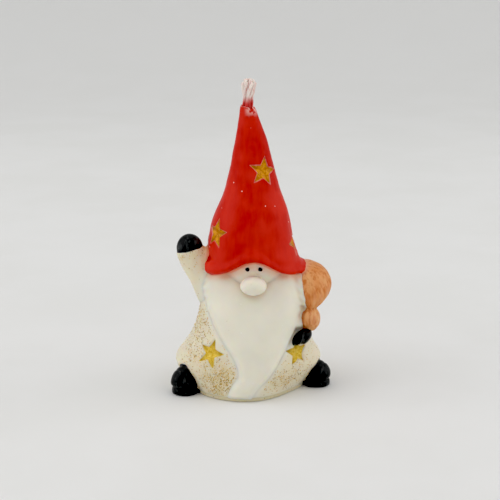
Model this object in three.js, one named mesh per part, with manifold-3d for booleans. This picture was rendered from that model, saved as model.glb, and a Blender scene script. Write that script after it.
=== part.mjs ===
// Tomte gnome candle: a bearded gnome in a tall starred hat, cast in wax round a cotton wick.
//
// Millimetres, +Z up. The origin is the centre of the base, on the surface that the candle stands on.
// The gnome faces -Y. Left and right are its own, so its right hand is on the -X side.
// Heights inside a body are fractions from 0 at its foot to 1 at its top, and bearings are degrees
// round the vertical axis: 0 faces the front, 90 faces +X.

import * as THREE from 'three';
import { mergeVertices } from 'three/addons/utils/BufferGeometryUtils.js';
import Module from 'manifold-3d';

const wasm = await Module();
wasm.setup();

// ---------------------------------------------------------------- driving dimensions

const CLEARANCE = 0.3; // gap between two pieces that meet

const BASE_THICKNESS = 1.4; // second pour of wax
const BASE_INSET = 0.2; // how far the base stands back from the coat's lower edge

const COAT_HALF_WIDTH = 23.3; // at the widest point of the hem
const COAT_HALF_DEPTH = 19;
const COAT_HEIGHT = 42;
const HEM_FLAT_BEARING = 50; // middle of the flattened side
const HEM_FLAT_SPREAD = 35;
const HEM_FLAT_SHARE = 0.15; // of the hem's radius
const HEM_FLAT_TOP = 0.35; // height fraction where it has died away

const BEARD_HALF_WIDTH = 16.2;
const BEARD_THICKNESS = 1.6; // how far it stands out of the coat
const BEARD_TIP_OFFSET = -3.2; // the tip curls towards the right boot
const BEARD_EDGE_SINK = 0.6; // the beard's edge under the coat's surface
const BEARD_BACK_BULGE = 0.3;
const SIDE_LIMIT = 0.1; // keeps the beard's edge in front of the coat's widest line
const BEARD_FULLNESS = 0.62; // 1 is an oval section, less is fuller at the cheeks
const BEARD_PART = 5.2; // depth of the dip in its upper edge, under the nose

const HEAD_RADII = new THREE.Vector3(10.8, 11.5, 8.5);
const HEAD_SINK = 2.7; // centre of the head below the top of the coat
const HEAD_OFFSET_X = 1.2; // the face sits a little to the left of the middle
const HEAD_OFFSET_Y = -0.5;

const NOSE_RADII = new THREE.Vector3(4.25, 3.5, 2.95);
const NOSE_DROP = 4.1; // centre of the nose below the centre of the head
const NOSE_PROUD = 1.8; // centre of the nose in front of the head
const NOSE_OFFSET_X = -0.15; // from the middle of the face

const EYE_RADIUS = 0.65;
const EYE_FLATNESS = 0.6; // thickness of the dab over its width
const EYE_SPACING = 4.05;
const EYE_RISE = 0.75; // above the centre of the head

const HAT_HEIGHT = 53;
const HAT_BRIM_HALF_WIDTH = 16.2;
const HAT_DEPTH_RATIO = 0.92; // depth of its oval section over its width
const HAT_RIM_DROP = 2.2; // rim at the sides, below the centre of the head
const HAT_ARCH_HEIGHT = 6; // rise of the rim over the face
const HAT_ARCH_SPREAD = 31; // bearing over which the arch dies away, degrees
const HAT_ARCH_FADE = 6; // power at which the arch dies away up the hat
const HAT_HOLLOW = 2; // rise of the hat's underside in its middle

const WICK_RADIUS = 1.4; // inside the wax
const WICK_EXPOSED = 8;
const WICK_FRAYED_RADIUS = 2.6;
const WICK_FOOT = 1.6; // wax left under the wick, above the base layer
const BORE_OVERRUN = 3; // past the hat's tip, so that the hole opens
const WICK_LEAN = 0.55; // sideways, over the exposed length
const WICK_HEAD_OFFSET_X = 0.4; // where it passes the middle of the head

// Joints of the arms: share of the coat's half width, y in millimetres, share of the coat's height.
const RIGHT_SHOULDER = new THREE.Vector3(-0.45, 0.5, 0.7);
const LEFT_SHOULDER = new THREE.Vector3(0.4, -2, 0.77);
const LEFT_ELBOW = new THREE.Vector3(0.53, -6, 0.6);
const LEFT_CUFF = new THREE.Vector3(0.58, -9.6, 0.47);

const RIGHT_ARM_DIRECTION = new THREE.Vector3(-0.505, -0.118, 0.855);
const RIGHT_ARM_LENGTH = 17; // shoulder to cuff
const RIGHT_SLEEVE_SHOULDER_RADIUS = 7;
const RIGHT_SLEEVE_CUFF_RADIUS = 4.2;
const RIGHT_MITTEN_RADII = new THREE.Vector3(4.25, 4, 4.8);
const RIGHT_CUFF_SLOPE = 14; // the cuff line rises towards the hat, degrees
const RIGHT_MITTEN_TILT = 6;

const LEFT_SLEEVE_SHOULDER_RADIUS = 5;
const LEFT_SLEEVE_ELBOW_RADIUS = 4.3;
const LEFT_SLEEVE_CUFF_RADIUS = 3;
const LEFT_MITTEN_RADII = new THREE.Vector3(3.6, 2.7, 2.1);
const LEFT_MITTEN_REACH = new THREE.Vector3(2.9, -1.1, -2.5); // its centre from the cuff
const LEFT_MITTEN_DROOP = 31; // degrees
const LEFT_MITTEN_TWIST = 20;

const SACK_HALF_WIDTH = 8.1;
const SACK_HALF_DEPTH = 9;
const SACK_RISE = 2.5; // top of the sack above the hat's rim
const SACK_NECK_REACH = new THREE.Vector3(5.75, 3.2, 6.7); // the sack's neck from the left cuff
const SACK_MOUTH_RADII = new THREE.Vector3(3.4, 3.3, 4.1);
const SACK_MOUTH_REACH = new THREE.Vector3(-0.2, -0.9, -3.9); // the gather's centre from the neck

const BOOT_LENGTH = 10.4;
const BOOT_WIDTH = 9.2;
const BOOT_HEIGHT = 8.9;
const BOOT_BULGE_RISE = 1.6; // widest line of the upper above its sole
const RIGHT_BOOT = { hemInset: 2.9, y: -8.8, toe: -50, drop: 0 }; // toe is a bearing, drop lowers the upper
const LEFT_BOOT = { hemInset: 2, y: -1.4, toe: 62, drop: 0.7 };
const SOLE_THICKNESS = 2.2;
const SOLE_INSET = 0.35; // the sole's outline inside the boot's

const HAT_STAR_RADIUS = 4.3;
const HAT_STAR_RIGHT_RISE = 12.7; // centre above the rim
const HAT_STAR_LEFT_RISE = 8.5;
const COAT_STAR_RADIUS = 4.3;
const STAR_INNER_RATIO = 0.46; // inner corners over tips
const STAR_SINK = 0.35; // the star's face under the surface round it
const STAR_THICKNESS = 1;
const STAR_REACH = 1.6; // length of the cutting prism over the star's radius
const STAR_RIM = 2 * CLEARANCE; // pocket's outline outside the star's

// ---------------------------------------------------------------- colours

const WAX_COLOUR = 0xe9e4d3;
const WAX_WARM_COLOUR = 0xe4dcc6;
const BASE_COLOUR = 0xbdb396;
const RED_COLOUR = 0xc81b10;
const BLACK_COLOUR = 0x16181a;
const SACK_COLOUR = 0xd99a6c;
const GOLD_COLOUR = 0xd0a021;
const COTTON_COLOUR = 0xe8d5cc;

// ---------------------------------------------------------------- helpers for solids

const radians = THREE.MathUtils.degToRad;

// Six times the volume inside a list of triangles; negative when they face inwards.
function signedVolume(points, triangles) {
  const corners = [new THREE.Vector3(), new THREE.Vector3(), new THREE.Vector3()];
  let total = 0;
  for (let i = 0; i < triangles.length; i += 3) {
    corners.forEach((corner, k) => corner.fromArray(points, 3 * triangles[i + k]));
    total += corners[0].dot(corners[1].cross(corners[2]));
  }
  return total;
}

// A closed three.js geometry as a solid, with its shared vertices merged and its faces pointing out.
function solidFrom(geometry) {
  const bare = geometry.clone();
  bare.deleteAttribute('normal');
  bare.deleteAttribute('uv');
  const merged = mergeVertices(bare, 1e-4);
  const points = new Float32Array(merged.attributes.position.array);
  const index = merged.index.array;
  const triangles = [];
  for (let i = 0; i < index.length; i += 3) {
    const [a, b, c] = [index[i], index[i + 1], index[i + 2]];
    if (a !== b && b !== c && c !== a) {
      triangles.push(a, b, c);
    }
  }
  if (signedVolume(points, triangles) < 0) {
    triangles.reverse();
  }
  const triVerts = new Uint32Array(triangles);
  return new wasm.Manifold(new wasm.Mesh({ numProp: 3, vertProperties: points, triVerts }));
}

// A solid as a named mesh of one colour.
function meshFrom(solid, name, colour, roughness = 0.5) {
  const { vertProperties, triVerts } = solid.getMesh();
  const geometry = new THREE.BufferGeometry();
  geometry.setAttribute('position', new THREE.BufferAttribute(new Float32Array(vertProperties), 3));
  geometry.setIndex(new THREE.BufferAttribute(new Uint32Array(triVerts), 1));
  geometry.computeVertexNormals();
  const material = new THREE.MeshStandardMaterial({ color: colour, roughness, metalness: 0 });
  const mesh = new THREE.Mesh(geometry, material);
  mesh.name = name;
  return mesh;
}

// The first solid with every other one cut out of it.
function cut(solid, ...tools) {
  return tools.reduce((left, tool) => left.subtract(tool), solid);
}

// A smooth function through a few [place, value] pairs.
function smooth(pairs) {
  const curve = new THREE.CubicInterpolant(pairs.map((pair) => pair[0]), pairs.map((pair) => pair[1]), 1);
  return (place) => curve.evaluate(place)[0];
}

// A closed body of stacked rings. place(t, angle) gives the surface point at height fraction t and
// bearing angle, and centre(t) gives the point where the cap closes at either end.
function ringBody(rings, sides, place, centre) {
  const outline = [new THREE.Vector2(0, 0)];
  for (let i = 0; i <= rings; i += 1) {
    outline.push(new THREE.Vector2(1, i / rings));
  }
  outline.push(new THREE.Vector2(0, 1));
  const geometry = new THREE.LatheGeometry(outline, sides);
  const position = geometry.attributes.position;
  for (let i = 0; i < position.count; i += 1) {
    const onAxis = Math.hypot(position.getX(i), position.getZ(i)) < 0.5;
    const t = position.getY(i);
    const angle = Math.atan2(position.getX(i), position.getZ(i));
    const point = onAxis ? centre(t) : place(t, angle);
    position.setXYZ(i, point.x, point.y, point.z);
  }
  return solidFrom(geometry);
}

// An ellipsoid, turned by `turn` before it is moved to its centre.
function ellipsoid(radii, centre, { grow = 0, turn = new THREE.Euler(), sides = 18, rings = 12 } = {}) {
  const geometry = new THREE.SphereGeometry(1, sides, rings);
  geometry.rotateX(Math.PI / 2);
  geometry.scale(radii.x + grow, radii.y + grow, radii.z + grow);
  geometry.applyMatrix4(new THREE.Matrix4().makeRotationFromEuler(turn));
  geometry.translate(centre.x, centre.y, centre.z);
  return solidFrom(geometry);
}

// A round tube along a curve whose radius changes on the way.
function taperedTube(curve, radiusAt, rings, sides, grow = 0) {
  const place = (t, angle) => {
    const tangent = curve.getTangentAt(t);
    const side = new THREE.Vector3(1, 0, 0).addScaledVector(tangent, -tangent.x).normalize();
    const front = new THREE.Vector3().crossVectors(side, tangent).normalize();
    const radius = radiusAt(t) + grow;
    return curve.getPointAt(t)
      .addScaledVector(side, radius * Math.sin(angle))
      .addScaledVector(front, radius * Math.cos(angle));
  };
  return ringBody(rings, sides, place, (t) => curve.getPointAt(t));
}

// ---------------------------------------------------------------- heights that the pieces share

const hemZ = BASE_THICKNESS + CLEARANCE;
const coatTopZ = hemZ + COAT_HEIGHT;
const headCentre = new THREE.Vector3(HEAD_OFFSET_X, HEAD_OFFSET_Y, coatTopZ - HEAD_SINK);
const hatRimZ = headCentre.z - HAT_RIM_DROP;

// ---------------------------------------------------------------- coat and base layer

// Share of the hem's half width and half depth, by height.
const coatWidthShare = smooth([
  [0, 0.845], [0.06, 0.92], [0.13, 0.99], [0.19, 1], [0.25, 0.955], [0.33, 0.86], [0.45, 0.768],
  [0.58, 0.717], [0.77, 0.645], [0.91, 0.56], [1, 0.38],
]);
const coatDepthShare = smooth([
  [0, 0.985], [0.06, 1], [0.2, 0.95], [0.44, 0.81], [0.67, 0.69], [0.8, 0.56], [0.9, 0.47], [1, 0.33],
]);
const coatShiftX = smooth([[0, -0.3], [0.15, -0.4], [0.34, 0], [0.7, 0.4], [1, 0.8]]);
const coatShiftY = smooth([[0, 0], [0.6, 0], [0.8, 1.2], [1, 1.6]]);

// The hem is flattened on the left front, less and less further up.
function hemFlat(t, angle) {
  const spread = (THREE.MathUtils.radToDeg(angle) - HEM_FLAT_BEARING) / HEM_FLAT_SPREAD;
  return 1 - HEM_FLAT_SHARE * Math.exp(-spread * spread) * Math.max(0, 1 - t / HEM_FLAT_TOP);
}

function coatPoint(t, angle, grow = 0) {
  const share = hemFlat(t, angle);
  return new THREE.Vector3(
    coatShiftX(t) + (COAT_HALF_WIDTH * coatWidthShare(t) * share + grow) * Math.sin(angle),
    coatShiftY(t) - (COAT_HALF_DEPTH * coatDepthShare(t) * share + grow) * Math.cos(angle),
    hemZ + t * COAT_HEIGHT,
  );
}

// The point at a share of the coat's half width, a y in millimetres and a share of its height.
function onCoat(share) {
  return new THREE.Vector3(share.x * COAT_HALF_WIDTH, share.y, hemZ + share.z * COAT_HEIGHT);
}

function coatBody(grow = 0) {
  const place = (t, angle) => {
    const point = coatPoint(t, angle, grow);
    point.z += t === 0 ? -grow : 0;
    point.z += t === 1 ? grow : 0;
    return point;
  };
  return ringBody(14, 32, place, (t) => {
    const z = hemZ + t * COAT_HEIGHT + (t === 0 ? -grow : grow);
    return new THREE.Vector3(coatShiftX(t), 0, z);
  });
}

function baseBody() {
  const place = (t, angle) => {
    const point = coatPoint(0, angle, -BASE_INSET);
    point.z = t * BASE_THICKNESS;
    return point;
  };
  return ringBody(1, 32, place, (t) => new THREE.Vector3(coatShiftX(0), 0, t * BASE_THICKNESS));
}

// ---------------------------------------------------------------- head, nose and eyes

function headBody(grow = 0) {
  return ellipsoid(HEAD_RADII, headCentre, { grow, sides: 24 });
}

const noseCentre = new THREE.Vector3(
  headCentre.x + NOSE_OFFSET_X,
  headCentre.y - HEAD_RADII.y - NOSE_PROUD,
  headCentre.z - NOSE_DROP,
);

function noseBody(grow = 0) {
  return ellipsoid(NOSE_RADII, noseCentre, { grow, rings: 10 });
}

// side is -1 for the right eye and 1 for the left.
function eyeBody(side, grow = 0) {
  const x = side * EYE_SPACING / 2;
  const inside = 1 - (x / HEAD_RADII.x) ** 2 - (EYE_RISE / HEAD_RADII.z) ** 2;
  const centre = new THREE.Vector3(x, -HEAD_RADII.y * Math.sqrt(inside), EYE_RISE).add(headCentre);
  const radii = new THREE.Vector3(EYE_RADIUS, EYE_FLATNESS * EYE_RADIUS, EYE_RADIUS);
  return ellipsoid(radii, centre, { grow, sides: 10, rings: 6 });
}

// ---------------------------------------------------------------- hat

// Share of the brim's half width, by height.
const hatWidthShare = smooth([
  [0, 0.95], [0.02, 1], [0.05, 0.97], [0.09, 0.915], [0.18, 0.844], [0.28, 0.785], [0.38, 0.685],
  [0.5, 0.525], [0.65, 0.405], [0.79, 0.308], [0.93, 0.182], [1, 0.135],
]);
// How far the hat's middle stands to the left of the wax's own, by height.
const hatShift = smooth([
  [0, 1.45], [0.05, 1.25], [0.13, 0.5], [0.23, 0.18], [0.36, 0.6], [0.6, 0.75], [0.8, 0.3], [1, -0.85],
]);
const hatRings = [0, 0.022, 0.06, 0.12, 0.2, 0.29, 0.38, 0.48, 0.62, 0.78, 0.93, 1];
const hatHeightAt = smooth(hatRings.map((height, i) => [i / (hatRings.length - 1), height]));

function hatRimRise(angle) {
  const spread = THREE.MathUtils.radToDeg(angle) / HAT_ARCH_SPREAD;
  return HAT_ARCH_HEIGHT * Math.exp(-spread * spread);
}

// The rim's rise dies away up the hat, so that its tip is level.
function hatPoint(height, angle, grow = 0) {
  const half = HAT_BRIM_HALF_WIDTH * hatWidthShare(height);
  return new THREE.Vector3(
    hatShift(height) + (half + grow) * Math.sin(angle),
    -(half * HAT_DEPTH_RATIO + grow) * Math.cos(angle),
    hatRimZ + height * HAT_HEIGHT + hatRimRise(angle) * (1 - height) ** HAT_ARCH_FADE,
  );
}

function hatBody(grow = 0) {
  const place = (t, angle) => {
    const point = hatPoint(hatHeightAt(t), angle, grow);
    point.z += t === 0 ? -grow : 0;
    point.z += t === 1 ? grow : 0;
    return point;
  };
  return ringBody(hatRings.length - 1, 30, place, (t) => {
    const z = t === 0 ? hatRimZ + HAT_HOLLOW - grow : hatRimZ + HAT_HEIGHT + grow;
    return new THREE.Vector3(hatShift(t), 0, z);
  });
}

// ---------------------------------------------------------------- beard

const beardTopZ = headCentre.z;
const beardWidthShare = smooth([
  [0, 0.21], [0.15, 0.26], [0.31, 0.435], [0.48, 0.72], [0.6, 0.87], [0.7, 0.95], [0.82, 1],
  [0.92, 0.965], [1, 0.93],
]);
const beardBend = smooth([[0, 1], [0.07, 0.8], [0.15, 0.3], [0.23, 0.05], [0.31, 0], [1, 0]]);
const beardShift = smooth([[0, 2.4], [0.31, 2.5], [0.48, 2], [0.7, 1.5], [0.86, 1], [1, 0.8]]);
const beardThicknessShare = smooth([[0, 0.35], [0.1, 0.6], [0.4, 0.75], [0.7, 1], [0.9, 0.75], [1, 0.1]]);

// y of the coat's surface at height z and distance x from its middle.
function coatFrontY(z, x) {
  const t = THREE.MathUtils.clamp((z - hemZ) / COAT_HEIGHT, 0, 1);
  const across = (x - coatShiftX(t)) / (COAT_HALF_WIDTH * coatWidthShare(t));
  const inside = Math.max(SIDE_LIMIT, 1 - across * across);
  return coatShiftY(t) - COAT_HALF_DEPTH * coatDepthShare(t) * Math.sqrt(inside);
}

function beardBody(grow = 0) {
  const middle = (t) => THREE.MathUtils.lerp(beardShift(t), BEARD_TIP_OFFSET, beardBend(t));
  const place = (t, angle) => {
    const half = BEARD_HALF_WIDTH * beardWidthShare(t);
    const x = middle(t) + half * Math.sin(angle);
    const fromPart = (x - noseCentre.x) / NOSE_RADII.x;
    const topZ = beardTopZ - BEARD_PART * Math.exp(-fromPart * fromPart);
    const z = hemZ + t * (topZ - hemZ);
    const edgeY = coatFrontY(z, middle(t) + Math.sign(Math.sin(angle)) * half) + BEARD_EDGE_SINK;
    const frontY = coatFrontY(z, middle(t)) - BEARD_THICKNESS * beardThicknessShare(t);
    const facing = Math.cos(angle);
    const reach = facing > 0 ? (frontY - edgeY) * facing ** BEARD_FULLNESS : -BEARD_BACK_BULGE * facing;
    const outward = new THREE.Vector3(Math.sin(angle), -Math.cos(angle), 0);
    const rise = t === 0 ? -grow : (t === 1 ? grow : 0);
    return new THREE.Vector3(x, edgeY + reach, z + rise).addScaledVector(outward, grow);
  };
  return ringBody(12, 28, place, (t) => {
    const topZ = beardTopZ - BEARD_PART;
    const z = t === 0 ? hemZ - grow : topZ + grow;
    return new THREE.Vector3(middle(t), coatFrontY(z, middle(t)) + BEARD_EDGE_SINK, z);
  });
}

// ---------------------------------------------------------------- right arm, raised

const rightShoulder = onCoat(RIGHT_SHOULDER);
const rightArmAxis = RIGHT_ARM_DIRECTION.clone().normalize();
const rightCuff = rightShoulder.clone().addScaledVector(rightArmAxis, RIGHT_ARM_LENGTH);

// Everything above the cuff's plane, raised by `lift` along the plane's normal.
function aboveRightCuff(lift) {
  const reach = 4 * RIGHT_MITTEN_RADII.z;
  const geometry = new THREE.BoxGeometry(2 * reach, 2 * reach, reach);
  geometry.translate(0, 0, reach / 2 + lift);
  geometry.rotateY(-radians(RIGHT_CUFF_SLOPE));
  geometry.translate(rightCuff.x, rightCuff.y, rightCuff.z);
  return solidFrom(geometry);
}

function rightSleeveBody() {
  const past = rightCuff.clone().addScaledVector(rightArmAxis, 0.6 * RIGHT_SLEEVE_CUFF_RADIUS);
  const radius = smooth([
    [0, RIGHT_SLEEVE_SHOULDER_RADIUS], [0.85, RIGHT_SLEEVE_CUFF_RADIUS], [1, RIGHT_SLEEVE_CUFF_RADIUS],
  ]);
  const tube = taperedTube(new THREE.LineCurve3(rightShoulder, past), radius, 5, 18);
  return tube.subtract(aboveRightCuff(0));
}

function rightMittenBody() {
  const turn = new THREE.Euler(0, -radians(RIGHT_MITTEN_TILT), 0);
  const mitten = ellipsoid(RIGHT_MITTEN_RADII, rightCuff, { turn });
  return mitten.intersect(aboveRightCuff(CLEARANCE));
}

// ---------------------------------------------------------------- left arm, lowered

const leftShoulder = onCoat(LEFT_SHOULDER);
const leftElbow = onCoat(LEFT_ELBOW);
const leftCuff = onCoat(LEFT_CUFF);

function leftSleeveBody(grow = 0) {
  const curve = new THREE.CatmullRomCurve3([leftCuff, leftElbow, leftShoulder]);
  const radius = smooth([
    [0, LEFT_SLEEVE_CUFF_RADIUS], [0.5, LEFT_SLEEVE_ELBOW_RADIUS], [1, LEFT_SLEEVE_SHOULDER_RADIUS],
  ]);
  return taperedTube(curve, radius, 6, 16, grow);
}

function leftMittenBody(grow = 0) {
  const turn = new THREE.Euler(0, -radians(LEFT_MITTEN_DROOP), radians(LEFT_MITTEN_TWIST));
  const centre = leftCuff.clone().add(LEFT_MITTEN_REACH);
  return ellipsoid(LEFT_MITTEN_RADII, centre, { grow, turn, sides: 16, rings: 10 });
}

// ---------------------------------------------------------------- sack

const sackNeck = leftCuff.clone().add(SACK_NECK_REACH);
// The sack leans back over the shoulder.
const sackHeight = hatRimZ + SACK_RISE - sackNeck.z;
const sackWidthShare = smooth([
  [0, 0.27], [0.14, 0.56], [0.35, 0.87], [0.55, 1], [0.8, 0.82], [0.94, 0.5], [1, 0.2],
]);
const sackShiftX = smooth([[0, 0], [0.2, 0.3], [0.5, -1], [1, -2.6]]);
const sackShiftY = smooth([[0, 0], [0.2, 2.4], [0.5, 6.5], [1, 8.5]]);

function sackBody(grow = 0) {
  const middle = (t) => new THREE.Vector3(sackShiftX(t), sackShiftY(t), t * sackHeight).add(sackNeck);
  const place = (t, angle) => {
    const point = middle(t);
    point.x += (SACK_HALF_WIDTH * sackWidthShare(t) + grow) * Math.sin(angle);
    point.y -= (SACK_HALF_DEPTH * sackWidthShare(t) + grow) * Math.cos(angle);
    point.z += t === 0 ? -grow : (t === 1 ? grow : 0);
    return point;
  };
  return ringBody(10, 22, place, (t) => middle(t).add(new THREE.Vector3(0, 0, t === 0 ? -grow : grow)));
}

function sackMouthBody() {
  return ellipsoid(SACK_MOUTH_RADII, sackNeck.clone().add(SACK_MOUTH_REACH), { sides: 16, rings: 10 });
}

// ---------------------------------------------------------------- boots

const boots = {
  right: { ...RIGHT_BOOT, x: -COAT_HALF_WIDTH + RIGHT_BOOT.hemInset },
  left: { ...LEFT_BOOT, x: COAT_HALF_WIDTH - LEFT_BOOT.hemInset },
};

function bootUpper(boot, grow = 0) {
  const middleZ = SOLE_THICKNESS + BOOT_BULGE_RISE;
  const radii = new THREE.Vector3(BOOT_WIDTH / 2, BOOT_LENGTH / 2, BOOT_HEIGHT - boot.drop - middleZ);
  const centre = new THREE.Vector3(boot.x, boot.y, middleZ);
  const dome = ellipsoid(radii, centre, { grow, turn: new THREE.Euler(0, 0, radians(boot.toe)) });
  const below = new THREE.BoxGeometry(3 * BOOT_LENGTH, 3 * BOOT_LENGTH, BOOT_HEIGHT);
  below.translate(boot.x, boot.y, SOLE_THICKNESS + CLEARANCE - grow - BOOT_HEIGHT / 2);
  return dome.subtract(solidFrom(below));
}

function bootSole(boot, grow = 0) {
  const inset = SOLE_INSET - grow;
  const across = BOOT_WIDTH / 2 - inset;
  const along = BOOT_LENGTH / 2 - inset;
  const outline = new THREE.Shape().absellipse(0, 0, across, along, 0, 2 * Math.PI);
  const options = { depth: SOLE_THICKNESS + 2 * grow, bevelEnabled: false, curveSegments: 12 };
  const geometry = new THREE.ExtrudeGeometry(outline, options);
  geometry.rotateZ(radians(boot.toe));
  geometry.translate(boot.x, boot.y, -grow);
  return solidFrom(geometry);
}

// ---------------------------------------------------------------- stars

// A five-pointed prism along +Z, with one tip along +Y.
function starPrism(radius, length) {
  const corners = [];
  for (let i = 0; i < 10; i += 1) {
    const reach = i % 2 === 0 ? radius : radius * STAR_INNER_RATIO;
    const angle = i * Math.PI / 5;
    corners.push(new THREE.Vector2(reach * Math.sin(angle), reach * Math.cos(angle)));
  }
  const geometry = new THREE.ExtrudeGeometry(new THREE.Shape(corners), { depth: length, bevelEnabled: false });
  geometry.translate(0, 0, -length / 2);
  return geometry;
}

// A star sunk into a body at a height and bearing. `pointOn` is the body's surface and `bodyOf` makes the
// body grown by a distance; `spin` turns the star clockwise on the surface.
function sunkStar({ pointOn, bodyOf, height, bearing, spin, radius }) {
  const angle = radians(bearing);
  const step = 0.01;
  const centre = pointOn(height, angle);
  const up = pointOn(height + step, angle).sub(pointOn(height - step, angle)).normalize();
  const along = pointOn(height, angle + step).sub(pointOn(height, angle - step)).normalize();
  const outward = new THREE.Vector3().crossVectors(along, up).normalize();
  const turn = new THREE.Matrix4().makeBasis(new THREE.Vector3().crossVectors(up, outward), up, outward);
  const prism = (grow) => {
    const geometry = starPrism(radius + grow, STAR_REACH * radius);
    geometry.rotateZ(-radians(spin));
    geometry.applyMatrix4(turn);
    geometry.translate(centre.x, centre.y, centre.z);
    return solidFrom(geometry);
  };
  const star = prism(0).intersect(bodyOf(-STAR_SINK)).subtract(bodyOf(-STAR_SINK - STAR_THICKNESS));
  const pocket = prism(STAR_RIM).subtract(bodyOf(-STAR_SINK - STAR_THICKNESS - CLEARANCE));
  return { star, pocket };
}

function hatStar(place) {
  return sunkStar({ pointOn: hatPoint, bodyOf: hatBody, radius: HAT_STAR_RADIUS, ...place });
}

function coatStar(place) {
  return sunkStar({ pointOn: coatPoint, bodyOf: coatBody, radius: COAT_STAR_RADIUS, ...place });
}

const hatStars = {
  hat_star_front: hatStar({ height: 0.616, bearing: 26, spin: 12 }),
  hat_star_right: hatStar({ height: HAT_STAR_RIGHT_RISE / HAT_HEIGHT, bearing: -60, spin: 0 }),
  hat_star_left: hatStar({ height: HAT_STAR_LEFT_RISE / HAT_HEIGHT, bearing: 86, spin: -8 }),
  hat_star_back: hatStar({ height: 0.43, bearing: 172, spin: 6 }),
};
const coatStars = {
  coat_star_right: coatStar({ height: 0.3, bearing: -38, spin: -5 }),
  coat_star_left: coatStar({ height: 0.295, bearing: 49, spin: 9 }),
  coat_star_back: coatStar({ height: 0.36, bearing: 176, spin: 0 }),
};

// ---------------------------------------------------------------- wick

const hatTip = new THREE.Vector3(hatShift(1), 0, hatRimZ + HAT_HEIGHT);
const wickPath = new THREE.CatmullRomCurve3([
  new THREE.Vector3(0, 0, hemZ + WICK_FOOT),
  new THREE.Vector3(WICK_HEAD_OFFSET_X, 0, headCentre.z),
  new THREE.Vector3(hatShift(0.5), 0, hatRimZ + 0.5 * HAT_HEIGHT),
  new THREE.Vector3(hatShift(0.85), 0, hatRimZ + 0.85 * HAT_HEIGHT),
  hatTip,
  hatTip.clone().add(new THREE.Vector3(0.2 * WICK_LEAN, 0, 0.55 * WICK_EXPOSED)),
  hatTip.clone().add(new THREE.Vector3(WICK_LEAN, 0, WICK_EXPOSED)),
]);
const wickExposedShare = WICK_EXPOSED / (WICK_EXPOSED + hatTip.z - hemZ - WICK_FOOT);

function wickBody() {
  const tipAt = 1 - wickExposedShare;
  const radius = smooth([
    [0, WICK_RADIUS],
    [0.5, WICK_RADIUS],
    [tipAt, WICK_RADIUS],
    [tipAt + 0.3 * wickExposedShare, 1.45 * WICK_RADIUS],
    [tipAt + 0.8 * wickExposedShare, WICK_FRAYED_RADIUS],
    [1, 0.85 * WICK_FRAYED_RADIUS],
  ]);
  return taperedTube(wickPath, radius, 24, 8);
}

// The hole that the wick fills, only inside the wax.
function wickBore() {
  const foot = new THREE.Vector3(0, 0, hemZ + WICK_FOOT - CLEARANCE);
  const points = [foot, ...wickPath.points.slice(1, 5), hatTip.clone().add(new THREE.Vector3(0, 0, BORE_OVERRUN))];
  return taperedTube(new THREE.CatmullRomCurve3(points), () => WICK_RADIUS + CLEARANCE, 12, 8);
}

// ---------------------------------------------------------------- the pieces, cut to fit each other

const group = new THREE.Group();

function addPiece(name, solid, colour, roughness) {
  group.add(meshFrom(solid, name, colour, roughness));
}

const grown = {
  coat: coatBody(CLEARANCE),
  head: headBody(CLEARANCE),
  nose: noseBody(CLEARANCE),
  hat: hatBody(CLEARANCE),
  beard: beardBody(CLEARANCE),
  leftSleeve: leftSleeveBody(CLEARANCE),
  leftMitten: leftMittenBody(CLEARANCE),
  sack: sackBody(CLEARANCE),
  bore: wickBore(),
};

const starPockets = (stars) => Object.values(stars).map(({ pocket }) => pocket);
const soleCuts = Object.values(boots).map((boot) => bootSole(boot, CLEARANCE));

addPiece('base_layer', cut(baseBody(), ...soleCuts), BASE_COLOUR, 0.45);
addPiece(
  'coat',
  cut(coatBody(), grown.beard, grown.head, grown.hat, grown.bore, ...starPockets(coatStars)),
  WAX_WARM_COLOUR,
);
addPiece('beard', cut(beardBody(), grown.head, grown.nose, grown.hat), WAX_COLOUR);
addPiece(
  'head',
  cut(headBody(), grown.nose, eyeBody(-1, CLEARANCE), eyeBody(1, CLEARANCE), grown.bore),
  WAX_COLOUR,
);
addPiece('nose', noseBody(), WAX_COLOUR);
addPiece('right_eye', eyeBody(-1), BLACK_COLOUR, 0.3);
addPiece('left_eye', eyeBody(1), BLACK_COLOUR, 0.3);
addPiece('hat', cut(hatBody(), grown.head, grown.bore, ...starPockets(hatStars)), RED_COLOUR, 0.4);
addPiece('right_sleeve', cut(rightSleeveBody(), grown.coat, grown.beard, grown.hat), WAX_WARM_COLOUR);
addPiece('right_mitten', cut(rightMittenBody(), grown.hat), BLACK_COLOUR, 0.35);
addPiece(
  'left_sleeve',
  cut(leftSleeveBody(), grown.coat, grown.beard, grown.hat, grown.leftMitten),
  WAX_WARM_COLOUR,
);
addPiece('left_mitten', cut(leftMittenBody(), grown.coat, grown.beard), BLACK_COLOUR, 0.35);
addPiece('sack', cut(sackBody(), grown.coat, grown.beard, grown.hat, grown.leftSleeve), SACK_COLOUR);
addPiece(
  'sack_mouth',
  cut(sackMouthBody(), grown.sack, grown.coat, grown.beard, grown.leftSleeve, grown.leftMitten),
  SACK_COLOUR,
);
for (const [side, boot] of Object.entries(boots)) {
  addPiece(`${side}_boot`, cut(bootUpper(boot), grown.coat), BLACK_COLOUR, 0.35);
  addPiece(`${side}_boot_sole`, cut(bootSole(boot), grown.coat), BLACK_COLOUR, 0.4);
}
for (const [name, { star }] of Object.entries({ ...hatStars, ...coatStars })) {
  addPiece(name, star, GOLD_COLOUR, 0.4);
}
addPiece('wick', wickBody(), COTTON_COLOUR, 0.9);

export default group;
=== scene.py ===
"""The looks of the tomte gnome candle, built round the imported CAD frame.

The CAD solids are read as distance fields, joined, smoothed and sculpted, and cut apart again along the
lines where the colours meet, so every CAD node gets one finished piece of its own. Fields are in
millimetres, and objects in metres. The gnome faces -Y, and its right hand is on the -X side.
"""

import math

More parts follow.
